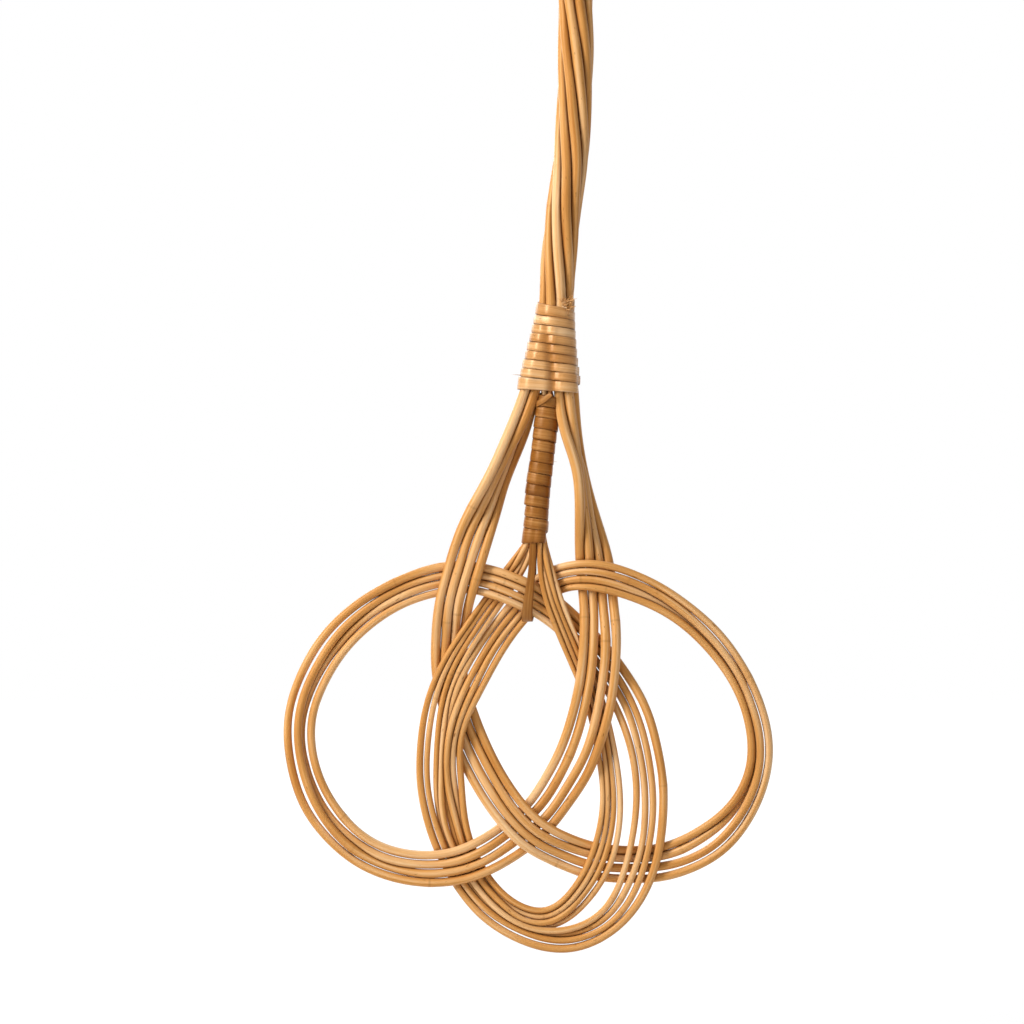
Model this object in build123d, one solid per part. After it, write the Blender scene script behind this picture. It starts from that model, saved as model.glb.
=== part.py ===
from build123d import *
from math import ceil, cos, pi, sin, sqrt
import os

# A woven rattan carpet beater in millimetres. The head lies in the XZ plane and faces -Y, +Z runs up
# the handle, and the origin is the middle of the handle's sawn end. Eight tapering canes carry all of
# it: they start in the handle, weave the knot and end as thin tips in the bound stem between them.

# Driving dimensions
head_width = 278.0            # across the two side rings
handle_length = 330.0         # sawn end to the top of the handle binding
handle_turn_length = 330.0    # the bundle twists once in this length
strip_thickness = 0.9         # the peeled strip of every binding
strip_seat = 0.15             # how far a strip presses into the canes
upper_gap = 0.57              # between two turns of the handle binding
stem_gap = 0.85               # between two turns of the stem binding
end_strip_width = 5.0
end_pitch = 5.7
end_inset = 4.0               # sawn end to the middle of the first turn below it
tie_width = 4.4
tie_thickness = 1.0
head_section_step = 14.0      # spacing of a cane's sections in the knot
handle_section_step = 27.0    # and in the handle
tip_hold = 14.0               # how far the tips run up inside the handle binding
cane_sides = 8
upper_turns = 9
stem_turns = 12
end_turns = 4
sections_per_turn = 18        # of a wound strip
arc_pairs_per_turn = 4
plumb_spans = 3               # stretches that keep the plumb part of the handle straight

# The photograph's scale and the places read from it, as columns and rows
head_width_px = 488.0
cane_butt_px = 9.83           # thickness of a cane in the handle
cane_tip_px = 5.09            # the same cane where it ends, in the stem
plumb_column_px = 575.5
binding_top_px = 302.0
upper_first_px = 307.0        # middle of the handle binding's first turn
stem_first_px = 404.0         # middle of the stem binding's first turn
stem_last_px = 537.8          # and of its last
handle_axis_px = [(575.0, 90.0), (573.0, 130.0), (569.5, 170.0), (564.5, 205.0), (559.5, 255.0), (556.0, 302.0)]
stem_axis_px = [(536.8, 508.0), (541.5, 462.0), (545.5, 430.0), (547.8, 408.0)]
tip_hold_px = (546.8, 388.0)
upper_last_px = (549.8, 387.0)

# The oval at the foot of the handle binding: half its width and half its depth over the canes
upper_foot_half_px = 28.6
packed_rows = 4

# Sizes that follow from these
plumb_share = 0.455           # of the handle hangs plumb
handle_plumb_length = handle_length * plumb_share
mm_per_px = head_width / head_width_px
cane_butt_diameter = cane_butt_px * mm_per_px
cane_tip_diameter = cane_tip_px * mm_per_px
upper_pitch = (upper_last_px[1] - upper_first_px) * mm_per_px / upper_turns
upper_strip_width = upper_pitch - upper_gap
stem_pitch = (stem_last_px - stem_first_px) * mm_per_px / stem_turns
stem_strip_width = stem_pitch - stem_gap

# Depths of the tie in butt diameters, front and back of the crossing it holds
tie_front_depth_shares = (1.107, 0.964, 0.839)
tie_back_depth_shares = (1.232, 1.179, 1.054)
tie_front_px = [(531.5, 545.0), (530.0, 575.0), (528.5, 609.0)]
tie_turn_px = (528.5, 621.5)
tie_back_px = [(531.0, 609.0), (533.0, 575.0), (534.0, 548.0)]

# Places around a ring of eight canes, counted from just right of the front middle towards the right
handle_ring = ["right_cane_4", "right_cane_3", "right_cane_1", "right_cane_2",
               "left_cane_1", "left_cane_2", "left_cane_4", "left_cane_3"]
stem_ring = ["left_cane_1", "left_cane_3", "left_cane_4", "left_cane_2",
             "right_cane_3", "right_cane_1", "right_cane_2", "right_cane_4"]
ring_share = 0.5 / sin(pi / len(handle_ring))

# Routes of the two bands of four: column, row, then the places of canes 1 to 4 across the band and in
# depth, both in local cane diameters. Across, plus lies to the left of travel seen from behind; in
# depth, plus lies behind. One number for the depths stands for all four.
right_route_px = [
    (566, 391, (0.75, -0.25, 0.25, -0.75), (0.45, 0.45, -0.45, -0.45)),
    (571, 430, (0.62, -0.18, 0.22, -0.62), (1.08, 0.46, -0.46, -1.08)),
    (580, 470, (0.35, 0.10, -0.15, -0.40), (1.45, 0.48, -0.48, -1.45)),
    (588, 510, (0.60, 0.12, -0.38, -0.95), (1.32, 0.48, -0.40, -1.20)),
    (595, 550, (1.10, 0.20, -0.65, -1.60), (1.00, 0.50, 0.15, 0.15)),
    (598, 575, (1.35, 0.30, -0.70, -1.75), 0.50),
    (600, 600, (1.45, 0.30, -0.75, -1.75), (0.40, 0.30, 0.25, 0.15)),
    (601, 632, (1.60, 0.45, -0.80, -1.85), -0.72),
    (598, 680, (1.70, 0.50, -0.90, -1.95), -0.80),
    (591, 717, (1.75, 0.55, -0.95, -2.05), -0.60),
    (579, 753, (1.80, 0.60, -0.90, -2.10), -0.50),
    (560, 787, (1.85, 0.70, -0.65, -1.90), 0.30),
    (537, 817, (1.90, 0.70, -0.60, -1.75), 0.52),
    (513, 838, (1.85, 0.50, -0.70, -1.80), 0.50),
    (489, 853, (1.80, 0.55, -0.62, -1.78), -0.45),
    (461, 864, (1.75, 0.60, -0.50, -1.70), -0.62),
    (430, 868, (1.65, 0.60, -0.40, -1.55), -0.35),
    (390, 863, (1.55, 0.50, -0.45, -1.50), (0.00, 0.10, -0.10, 0.00)),
    (350, 842, (1.50, 0.40, -0.45, -1.55), (0.00, -0.20, 0.30, 0.00)),
    (318, 805, (1.45, 0.15, -0.35, -1.65), (0.00, -0.40, 0.50, 0.00)),
    (301, 760, (1.35, 0.05, -0.30, -1.60), (0.00, -0.45, 0.50, 0.00)),
    (300, 715, (1.40, 0.05, -0.35, -1.60), (0.00, -0.45, 0.50, 0.00)),
    (316, 671, (1.50, 0.20, -0.50, -1.60), (0.00, -0.30, 0.40, 0.00)),
    (345, 630, (1.50, 0.25, -0.65, -1.70), (0.00, -0.20, 0.25, 0.00)),
    (384, 600, (1.40, 0.30, -0.65, -1.70), (0.00, 0.20, 0.20, 0.10)),
    (426, 583, (1.60, 0.50, -0.55, -1.60), 0.45),
    (466, 578, (1.60, 0.55, -0.50, -1.60), (0.40, 0.40, 0.50, 0.60)),
    (487, 581, (1.60, 0.55, -0.50, -1.60), (0.05, -0.05, -0.10, -0.10)),
    (508, 587, (1.55, 0.50, -0.65, -1.70), -0.45),
    (540, 603, (1.60, 0.50, -0.55, -1.60), 0.00),
    (575, 631, (1.60, 0.55, -0.50, -1.60), (0.80, 0.70, 0.60, 0.60)),
    (602, 661, (1.65, 0.50, -0.60, -1.70), (0.85, 0.90, 1.00, 1.00)),
    (627, 697, (1.70, 0.30, -0.85, -2.05), 0.35),
    (642, 737, (1.80, 0.25, -0.85, -2.05), 0.00),
    (650, 781, (1.90, 0.30, -0.85, -2.10), -0.15),
    (648, 830, (2.05, 0.45, -0.65, -2.15), -0.50),
    (635, 880, (2.05, 0.60, -0.70, -2.05), -0.55),
    (607, 920, (1.80, 0.65, -0.40, -1.55), (-0.20, -0.20, 0.00, -0.20)),
    (567, 938, (1.70, 0.35, -0.55, -1.45), (0.00, -0.15, 0.40, -0.30)),
    (528, 931, (1.75, 0.42, -0.22, -0.60), (0.00, -0.10, 0.60, -0.40)),
    (486, 909, (1.25, 0.05, -0.62, -1.25), (0.35, 0.20, 0.95, 0.05)),
    (455, 868, (1.25, 0.09, -0.62, -1.33), (0.80, 0.45, 1.15, 0.45)),
    (437, 820, (1.64, 0.45, -0.55, -1.22), (0.30, 0.10, 0.75, 0.00)),
    (431, 775, (1.95, 0.65, -0.88, -1.80), (0.00, 0.00, 0.10, -0.20)),
    (434, 731, (2.10, 0.80, -0.80, -1.70), (-0.40, -0.50, -0.70, -0.90)),
    (443, 686, (1.70, 0.65, -0.55, -1.75), -0.75),
    (460, 650, (1.50, 0.60, -0.45, -1.65), -1.00),
    (478, 622, (1.50, 0.55, -0.45, -1.60), (-1.05, -0.80, -0.75, -0.60)),
    (496, 597, (1.45, 0.50, -0.50, -1.45), 1.00),
    (514, 571, (1.40, 0.50, -0.50, -1.40), 0.95),
    (528, 552, (1.35, 1.00, 0.00, -0.50), (0.65, -0.40, 0.90, -0.50)),
    (537, 533, (1.21, 1.21, 0.50, 0.50), (0.50, -0.50, 1.25, -1.25)),
]

left_route_px = [
    (530, 391, (0.50, -0.50, 0.50, -0.50), (0.50, 0.50, -0.50, -0.50)),
    (518, 429, (0.75, -0.15, 0.15, -0.75), (0.85, 0.48, -0.48, -0.85)),
    (497, 480, (0.85, 0.25, -0.30, -0.90), (1.20, 0.38, -0.42, -1.22)),
    (487, 505, (1.15, 0.37, -0.45, -1.25), (0.72, 0.10, -0.48, -1.10)),
    (477, 531, (1.40, 0.40, -0.60, -1.60), (-0.20, -0.40, -0.40, -0.60)),
    (461, 580, (1.50, 0.40, -0.60, -1.65), -0.75),
    (455, 602, (1.50, 0.45, -0.55, -1.60), (-0.25, -0.60, -0.65, -0.70)),
    (452, 620, (1.50, 0.45, -0.52, -1.55), (0.40, -0.10, -0.30, -0.40)),
    (450, 640, (1.50, 0.50, -0.48, -1.50), (0.60, 0.50, 0.35, 0.25)),
    (449, 670, (1.50, 0.50, -0.50, -1.45), 0.55),
    (458, 711, (1.50, 0.50, -0.50, -1.50), 0.66),
    (475, 753, (1.55, 0.55, -0.50, -1.60), (0.45, 0.50, 0.60, 0.65)),
    (500, 798, (1.65, 0.60, -0.45, -1.55), -0.35),
    (533, 833, (1.55, 0.45, -0.60, -1.65), -0.55),
    (562, 850, (1.60, 0.55, -0.50, -1.65), (0.00, 0.05, 0.15, 0.25)),
    (592, 861, (1.70, 0.70, -0.50, -1.70), 0.55),
    (625, 865, (1.75, 0.75, -0.45, -1.70), 0.55),
    (669, 861, (1.80, 0.80, -0.50, -1.75), 0.35),
    (708, 842, (1.75, 0.75, -0.70, -1.85), 0.00),
    (742, 808, (1.35, 0.65, -0.28, -1.40), (-0.10, 0.65, -0.20, 0.00)),
    (758, 765, (0.95, 0.40, -0.15, -1.25), (-0.20, 0.70, -0.20, 0.00)),
    (754, 715, (0.95, 0.40, -0.10, -1.20), (-0.20, 0.70, -0.20, 0.00)),
    (736, 673, (1.00, 0.45, -0.10, -1.20), (-0.20, 0.65, -0.20, 0.00)),
    (706, 634, (1.05, 0.45, -0.15, -1.25), (-0.20, 0.55, -0.20, 0.00)),
    (669, 604, (1.25, 0.50, -0.35, -1.35), (-0.55, 0.15, -0.40, -0.30)),
    (630, 584, (1.65, 0.70, -0.35, -1.45), -0.55),
    (592, 576, (1.55, 0.50, -0.60, -1.70), (-0.75, -0.70, -0.80, -0.85)),
    (571, 577, (1.40, 0.40, -0.65, -1.70), -0.10),
    (551, 585, (1.25, 0.25, -0.80, -1.80), 1.00),
    (526, 608, (1.05, 0.05, -0.95, -1.95), 0.95),
    (500, 648, (0.45, -0.60, -1.60, -2.65), 0.00),
    (475, 692, (0.55, -0.45, -1.50, -2.60), -0.75),
    (458, 735, (0.55, -0.40, -1.30, -1.72), (-0.75, -0.90, -1.20, -0.27)),
    (453, 780, (1.18, 0.12, -0.85, -1.38), (-0.10, 0.10, -0.20, 0.75)),
    (457, 825, (1.38, 0.67, 0.00, -0.79), (0.15, 0.85, 0.15, 0.85)),
    (473, 870, (1.50, 0.77, 0.07, -0.63), (0.45, 1.15, 0.45, 1.15)),
    (503, 903, (1.12, 0.42, -0.20, -0.78), (0.00, 0.75, 0.10, 0.90)),
    (524, 911, (0.58, -0.35, -1.32, -1.85), (0.00, 0.35, -0.15, 0.80)),
    (545, 912, (0.32, -0.70, -1.72, -2.40), (0.00, 0.10, -0.25, 0.62)),
    (579, 893, (1.22, 0.25, -0.70, -1.85), (-0.60, -0.50, -0.40, 0.00)),
    (602, 853, (1.55, 0.47, -0.58, -1.92), -0.65),
    (611, 800, (1.45, 0.50, -0.45, -1.55), 0.00),
    (607, 755, (1.45, 0.50, -0.40, -1.45), 0.75),
    (594, 700, (1.35, 0.45, -0.45, -1.35), 0.60),
    (580, 665, (1.40, 0.48, -0.45, -1.38), (0.10, 0.10, 0.15, 0.25)),
    (568, 637, (1.42, 0.48, -0.46, -1.40), -0.75),
    (553, 597, (1.30, 0.45, -0.45, -1.30), -1.45),
    (545, 565, (1.02, 0.32, -0.36, -1.02), (-1.35, -0.65, -1.35, -0.55)),
    (537, 533, (-0.50, -0.50, -1.21, -1.21), (-1.25, 1.25, -0.50, 0.50)),
]


def place(column, row, depth=0.0):
    """A place of the photograph, with its depth in millimetres, in the part's frame."""
    return Vector((column - plumb_column_px) * mm_per_px, depth,
                  (binding_top_px - row) * mm_per_px - handle_length)


def ring_angle(ring, name):
    """The angle of a cane's place in a ring of eight, seen from above with the front at minus 90."""
    step = 2 * pi / len(ring)
    return (ring.index(name) + 0.5) * step - pi / 2


def path_plane(path, share):
    """The plane of a cane's section at a share of its path, level where the handle is sawn off."""
    tangent = path % share if share > 0 else Vector(0, 0, -1)
    back = Vector(0, 1, 0)
    return Plane(origin=path @ share, x_dir=back - tangent * back.dot(tangent), z_dir=tangent)


def handle_stops(name):
    """Stops of one cane down the twisted ring of the handle, from the sawn end to the binding."""
    span = handle_plumb_length / plumb_spans
    plumb = [Vector(0, 0, -span * step) for step in range(plumb_spans + 1)]
    axis = Spline(plumb + [place(*spot) for spot in handle_axis_px])
    steps = ceil(axis.length / handle_section_step)
    radius = ring_share * cane_butt_diameter
    stops = []
    for step in range(steps + 1):
        share = step / steps
        middle = axis @ share
        rise = (1 - share) * axis.length
        angle = ring_angle(handle_ring, name) - 2 * pi * rise / handle_turn_length
        stops.append(middle + Vector(radius * cos(angle), radius * sin(angle), 0))
    return stops


def route_stops(route, lane):
    """Stops of one cane through the knot, with the cane's diameter at each."""
    middles = [place(stop[0], stop[1]) for stop in route]
    lengths = [(b - a).length for a, b in zip(middles, middles[1:])]
    whole = sum(lengths)
    stops = []
    diameters = []
    run = 0.0
    for index, stop in enumerate(route):
        before = middles[max(index, 1)] - middles[max(index, 1) - 1]
        after_index = min(index, len(middles) - 2)
        after = middles[after_index + 1] - middles[after_index]
        travel = before.normalized() * after.length + after.normalized() * before.length
        travel = travel.normalized()
        across = Vector(-travel.Z, 0, travel.X)
        diameter = cane_butt_diameter + (cane_tip_diameter - cane_butt_diameter) * run / whole
        lift = stop[3][lane] if isinstance(stop[3], tuple) else stop[3]
        shift = across * stop[2][lane] + Vector(0, lift, 0)
        stops.append(middles[index] + shift * diameter)
        diameters.append(diameter)
        if index < len(lengths):
            run += lengths[index]
    return stops, diameters


def stem_stops(name):
    """Stops of one tip up the stem, then packed two wide inside the handle binding."""
    angle = ring_angle(stem_ring, name)
    ring = Vector(cos(angle), sin(angle), 0) * ring_share * cane_tip_diameter
    stops = [place(*spot) + ring for spot in stem_axis_px]
    order = stem_ring.index(name)
    side = 0.5 if order < packed_rows else -0.5
    row = order if order < packed_rows else len(stem_ring) - 1 - order
    packed = Vector(side, row - (packed_rows - 1) / 2, 0) * cane_tip_diameter
    hold = place(*tip_hold_px) + packed
    return stops + [hold, hold + Vector(0, 0, tip_hold)]


def cane(name, route, lane):
    """One whole cane: a ruled loft of octagons that taper from its butt to its tip."""
    top = handle_stops(name)
    knot, diameters = route_stops(route, lane)
    tip = stem_stops(name)
    path = Spline(top + knot + tip)
    spots = [0.0] + [path.param_at_point(stop) for stop in (top + knot + tip)[1:-1]] + [1.0]
    widths = [cane_butt_diameter] * len(top) + diameters + [cane_tip_diameter] * len(tip)
    shares = [0.0]
    for index in range(len(spots) - 1):
        gap = (spots[index + 1] - spots[index]) * path.length
        step = handle_section_step if index < len(top) else head_section_step
        parts = max(1, round(gap / step))
        for part in range(parts):
            shares.append(spots[index] + (spots[index + 1] - spots[index]) * (part + 1) / parts)
    outline_share = sqrt(2 * pi / (cane_sides * sin(2 * pi / cane_sides)))
    sections = []
    for share in shares:
        index = max(i for i, spot in enumerate(spots[:-1]) if spot <= share)
        inside = (share - spots[index]) / (spots[index + 1] - spots[index])
        diameter = widths[index] + (widths[index + 1] - widths[index]) * inside
        octagon = RegularPolygon(diameter / 2 * outline_share, cane_sides)
        sections.append(path_plane(path, share) * octagon)
    return loft(sections, ruled=True)


def biarc(start, start_way, end, end_way):
    """Two arcs that leave start along start_way and reach end along end_way."""
    chord = end - start
    ways = start_way + end_way
    bend = 2 * (1 - start_way.dot(end_way))
    reach = (sqrt(chord.dot(ways) ** 2 + bend * chord.dot(chord)) - chord.dot(ways)) / bend
    first = start + start_way * reach
    second = end - end_way * reach
    joint = (first + second) / 2
    joint_way = (second - first).normalized()
    return [Edge.make_tangent_arc(start, start_way, joint), Edge.make_tangent_arc(joint, joint_way, end)]


def ribbon(path, count, side, width, thickness):
    """A wound strip along a path: a ruled loft of its sections, their width lying along side."""
    sections = []
    for index in range(count + 1):
        way = path % (index / count)
        plane = Plane(origin=path @ (index / count), x_dir=side, z_dir=way - side * side.dot(way))
        sections.append(plane * Rectangle(width, thickness))
    return loft(sections, ruled=True)


def winding(name, first, last, first_half, last_half, turns, width):
    """One unbroken strip wound from first to last, its oval going from first_half to last_half."""
    stretches = arc_pairs_per_turn * turns
    spots = []
    ways = []
    for stretch in range(stretches + 1):
        share = stretch / stretches
        angle = stretch * 2 * pi / arc_pairs_per_turn
        half_width = first_half[0] + (last_half[0] - first_half[0]) * share
        half_depth = first_half[1] + (last_half[1] - first_half[1]) * share
        middle = first + (last - first) * share
        spots.append(middle + Vector(half_width * cos(angle), half_depth * sin(angle), 0))
        round_length = pi * (3 * (half_width + half_depth)
                             - sqrt((3 * half_width + half_depth) * (half_width + 3 * half_depth)))
        fall = (last - first) / turns / round_length
        ways.append((Vector(-sin(angle), cos(angle), 0) + fall).normalized())
    edges = []
    for index in range(stretches):
        edges += biarc(spots[index], ways[index], spots[index + 1], ways[index + 1])
    path = Wire(edges)
    print_least_gap(name, path, turns, width)
    return ribbon(path, sections_per_turn * turns, (first - last).normalized(), width, strip_thickness)


def print_least_gap(name, path, turns, width):
    """Print the least clear gap between neighbouring turns of a winding, measured on its points."""
    count = sections_per_turn * turns
    points = [path @ (index / count) for index in range(count + 1)]
    half_turn = sections_per_turn // 2
    least = min((points[b] - points[a]).length
                for a in range(count + 1) for b in range(a + half_turn, count + 1))
    print(name, "least gap to itself", round(least - width, 2), "mm")


def upper_binding():
    """The strip round the foot of the handle, round at its top and oval over the two bundles."""
    seat = strip_thickness / 2 - strip_seat
    top_half = (ring_share + 0.5) * cane_butt_diameter + seat
    foot_half_depth = packed_rows / 2 * cane_tip_diameter + seat
    first = place(handle_axis_px[-1][0], upper_first_px)
    last = place(*upper_last_px)
    foot = (upper_foot_half_px * mm_per_px + seat, foot_half_depth)
    return winding("upper binding", first, last, (top_half, top_half), foot, upper_turns,
                   upper_strip_width)


def stem_binding():
    """The strip round the eight tips in the stem."""
    half = (ring_share + 0.5) * cane_tip_diameter + strip_thickness / 2 - strip_seat
    foot = place(*stem_axis_px[0])
    head = place(*stem_axis_px[-1])
    axis = (head - foot).normalized()
    first = foot + axis * ((stem_axis_px[0][1] - stem_first_px) * mm_per_px)
    last = first - axis * stem_pitch * stem_turns
    return winding("stem binding", first, last, (half, half), (half, half), stem_turns,
                   stem_strip_width)


def handle_end_binding():
    """The short strip that keeps the sawn end of the handle together."""
    half = (ring_share + 0.5) * cane_butt_diameter + strip_thickness / 2 - strip_seat
    first = Vector(0, 0, -end_inset)
    last = first - Vector(0, 0, end_pitch * end_turns)
    return winding("handle end binding", first, last, (half, half), (half, half), end_turns,
                   end_strip_width)


def knot_tie():
    """The flat strip from the stem's foot down the front of the crossing and up its back."""
    front_depths = [share * cane_butt_diameter for share in tie_front_depth_shares]
    back_depths = [share * cane_butt_diameter for share in tie_back_depth_shares]
    spots = [place(*spot, -depth) for spot, depth in zip(tie_front_px, front_depths)]
    spots.append(place(*tie_turn_px, (back_depths[0] - front_depths[-1]) / 2))
    spots += [place(*spot, depth) for spot, depth in zip(tie_back_px, back_depths)]
    path = Spline(spots)
    side = Vector(1, 0, 0)
    way = path % 0
    plane = Plane(origin=path @ 0, x_dir=side - way * side.dot(way), z_dir=way)
    guide = Wire([path]).moved(Location(side * tie_width))
    return sweep(plane * Rectangle(tie_width, tie_thickness), path=path, binormal=guide)


def build():
    """All pieces by node name."""
    pieces = {}
    for side, route in (("right", right_route_px), ("left", left_route_px)):
        for lane in range(4):
            name = f"{side}_cane_{lane + 1}"
            pieces[name] = cane(name, route, lane)
    pieces["upper_binding"] = upper_binding()
    pieces["stem_binding"] = stem_binding()
    pieces["handle_end_binding"] = handle_end_binding()
    pieces["knot_tie"] = knot_tie()
    return pieces


os.makedirs("parts", exist_ok=True)
for node, piece in build().items():
    export_step(piece, f"parts/{node}.step")
    box = piece.bounding_box()
    print(node, "valid", piece.is_valid, "volume", round(piece.volume, 1),
          "box", [round(v, 1) for v in (*box.min, *box.max)])
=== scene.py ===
"""Looks of a woven carpet beater of rattan cane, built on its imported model."""
import logging
import math
from dataclasses import dataclass, field
from enum import Enum
from typing import Any

import bpy
import numpy as np
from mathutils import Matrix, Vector, kdtree


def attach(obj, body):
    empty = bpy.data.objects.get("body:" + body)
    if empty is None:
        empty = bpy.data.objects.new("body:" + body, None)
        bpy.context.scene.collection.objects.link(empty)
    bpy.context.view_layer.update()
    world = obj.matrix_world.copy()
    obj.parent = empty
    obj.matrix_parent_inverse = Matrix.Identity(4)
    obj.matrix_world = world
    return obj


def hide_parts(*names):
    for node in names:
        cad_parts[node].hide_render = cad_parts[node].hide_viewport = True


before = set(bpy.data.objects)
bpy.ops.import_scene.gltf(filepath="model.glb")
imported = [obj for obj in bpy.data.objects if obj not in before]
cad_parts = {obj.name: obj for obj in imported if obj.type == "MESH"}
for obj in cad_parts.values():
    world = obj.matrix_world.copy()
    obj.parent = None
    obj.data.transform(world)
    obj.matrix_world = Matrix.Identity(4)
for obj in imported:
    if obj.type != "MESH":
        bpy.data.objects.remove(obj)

log = logging.getLogger("carpet_beater")

Array = np.ndarray
Piece = bpy.types.Object
Material = bpy.types.Material
Colour = tuple[float, float, float]
Triple = tuple[float, float, float]
Pair = tuple[float, float]

# Sizes in millimetres and in the photograph's pixels; what is built is in metres
MM = 0.001
HEAD_WIDTH = 278.0
HEAD_WIDTH_PX = 488.0
MM_PER_PIXEL = HEAD_WIDTH / HEAD_WIDTH_PX
PHOTO_SIDE_PX = 1024
PLUMB_COLUMN = 575.5
BINDING_TOP_ROW = 302.0
BINDING_TOP_HEIGHT = -330.0

# Corners of the frame's loose triangles that are nearer than half a micrometre are one
CORNER_STEPS_PER_METRE = 2e6
SMOOTH_BELOW = math.radians(50)
WAVE_COUNT = 5
WAVE_SPREAD = (0.6, 1.7)
NOISE_MIDDLE = 0.5


def at_photo(column: float, row: float, depth: float) -> Vector:
    """Gives the place that a spot of the photograph has on the beater.

    Args:
        column: The spot's column in pixels.
        row: The spot's row in pixels.
        depth: How far behind the middle plane it lies, in millimetres.

    Returns:
        The place in metres.
    """
    across = (column - PLUMB_COLUMN) * MM_PER_PIXEL
    up = BINDING_TOP_HEIGHT - (row - BINDING_TOP_ROW) * MM_PER_PIXEL
    return Vector((across, depth, up)) * MM


class Value:
    """A shader socket that Python's operators can reckon with."""

    def __init__(self, recipe: "Recipe", socket: bpy.types.NodeSocket) -> None:
        """Keeps the recipe and the socket."""
        self.recipe = recipe
        self.socket = socket

    def _math(self, operation: str, first: Any, second: Any) -> "Value":
        """Adds one Math node."""
        return self.recipe.node("ShaderNodeMath", {"operation": operation}, {0: first, 1: second})

    def __add__(self, other: Any) -> "Value":
        """Adds a value or a number."""
        return self._math("ADD", self, other)

    __radd__ = __add__

    def __sub__(self, other: Any) -> "Value":
        """Takes a value or a number away."""
        return self._math("SUBTRACT", self, other)

    def __rsub__(self, other: Any) -> "Value":
        """Takes this value away from a number."""
        return self._math("SUBTRACT", other, self)

    def __mul__(self, other: Any) -> "Value":
        """Multiplies by a value or a number."""
        return self._math("MULTIPLY", self, other)

    __rmul__ = __mul__

    def __abs__(self) -> "Value":
        """Drops the sign."""
        return self._math("ABSOLUTE", self, 0.0)

    def upto(self, other: Any) -> "Value":
        """Gives the smaller of the two."""
        return self._math("MINIMUM", self, other)

    def atleast(self, other: Any) -> "Value":
        """Gives the larger of the two."""
        return self._math("MAXIMUM", self, other)


class Recipe:
    """The nodes of one material, or of the world."""

    def __init__(self, owner: Material | bpy.types.World) -> None:
        """Starts without nodes.

        Args:
            owner: What the nodes are for.
        """
        owner.use_nodes = True
        self.owner = owner
        self.tree = owner.node_tree
        self.tree.nodes.clear()

    def node(self, kind: str, settings: dict[str, Any] | None = None,
             inputs: dict[Any, Any] | None = None, output: int | str = 0) -> Value:
        """Adds one node.

        Args:
            kind: The node's type.
            settings: Its properties; stops gives the stops of a ramp.
            inputs: Values or links by socket name or number.
            output: The output that is wanted.

        Returns:
            That output.
        """
        made = self.tree.nodes.new(kind)
        for key, value in (settings or {}).items():
            if key == "stops":
                self._set_stops(made.color_ramp, value)
            else:
                setattr(made, key, value)
        for key, value in (inputs or {}).items():
            if isinstance(value, Value):
                self.tree.links.new(value.socket, made.inputs[key])
            else:
                made.inputs[key].default_value = value
        return Value(self, made.outputs[output])

    def _set_stops(self, ramp: bpy.types.ColorRamp, stops: list[tuple[float, Colour]]) -> None:
        """Gives a ramp its stops.

        Args:
            ramp: The ramp of a node.
            stops: The place and the colour of each stop.
        """
        while len(ramp.elements) < len(stops):
            ramp.elements.new(0.5)
        for element, (place, colour) in zip(ramp.elements, stops):
            element.position = place
            element.color = (*colour, 1.0)

    def mix(self, share: Value, first: Value | Colour, second: Value | Colour) -> Value:
        """Mixes two colours.

        Args:
            share: How much of the second is taken.
            first: A colour or the value of one.
            second: A colour or the value of one.

        Returns:
            The mixed colour.
        """
        settings = {"data_type": "RGBA", "blend_type": "MIX", "clamp_factor": True}
        full = [c if isinstance(c, Value) else (*c, 1.0) for c in (first, second)]
        return self.node("ShaderNodeMix", settings, {0: share, 6: full[0], 7: full[1]}, 2)

    def step(self, value: Value, low: float, high: float) -> Value:
        """Rises smoothly from 0 at low to 1 at high."""
        inputs = {0: value, 1: low, 2: high, 3: 0.0, 4: 1.0}
        return self.node("ShaderNodeMapRange", {"interpolation_type": "SMOOTHSTEP"}, inputs)

    def attribute(self, name: str, output: str = "Fac") -> Value:
        """Reads an attribute of the mesh."""
        return self.node("ShaderNodeAttribute", {"attribute_name": name}, None, output)

    def scaled(self, vector: Value, scale: Triple) -> Value:
        """Multiplies a vector by three numbers."""
        return self.node("ShaderNodeVectorMath", {"operation": "MULTIPLY"}, {0: vector, 1: scale})

    def noise(self, vector: Value, scale: Triple, detail: float) -> Value:
        """Adds noise round NOISE_MIDDLE on a stretched vector."""
        inputs = {"Vector": self.scaled(vector, scale), "Scale": 1.0, "Detail": detail}
        return self.node("ShaderNodeTexNoise", {}, inputs)

    def seen(self) -> Value:
        """Gives 1 to what is seen straight, in a reflection or through glass, else 0."""
        rays = [self.node("ShaderNodeLightPath", {}, None, name)
                for name in ("Is Camera Ray", "Is Glossy Ray", "Is Transmission Ray")]
        return rays[0].atleast(rays[1]).atleast(rays[2])

    def output(self, surface: Value, kind: str = "ShaderNodeOutputMaterial") -> Any:
        """Ends the nodes with their surface.

        Args:
            surface: The shader of the surface.
            kind: The type of the last node.

        Returns:
            The material or the world.
        """
        end = self.tree.nodes.new(kind)
        self.tree.links.new(surface.socket, end.inputs["Surface"])
        return self.owner


class Grain(Enum):
    """How fine the lengthwise streaks of a finish are, per metre."""

    CANE = (520.0, 520.0, 11.0)
    STRIP = (900.0, 300.0, 22.0)


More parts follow.
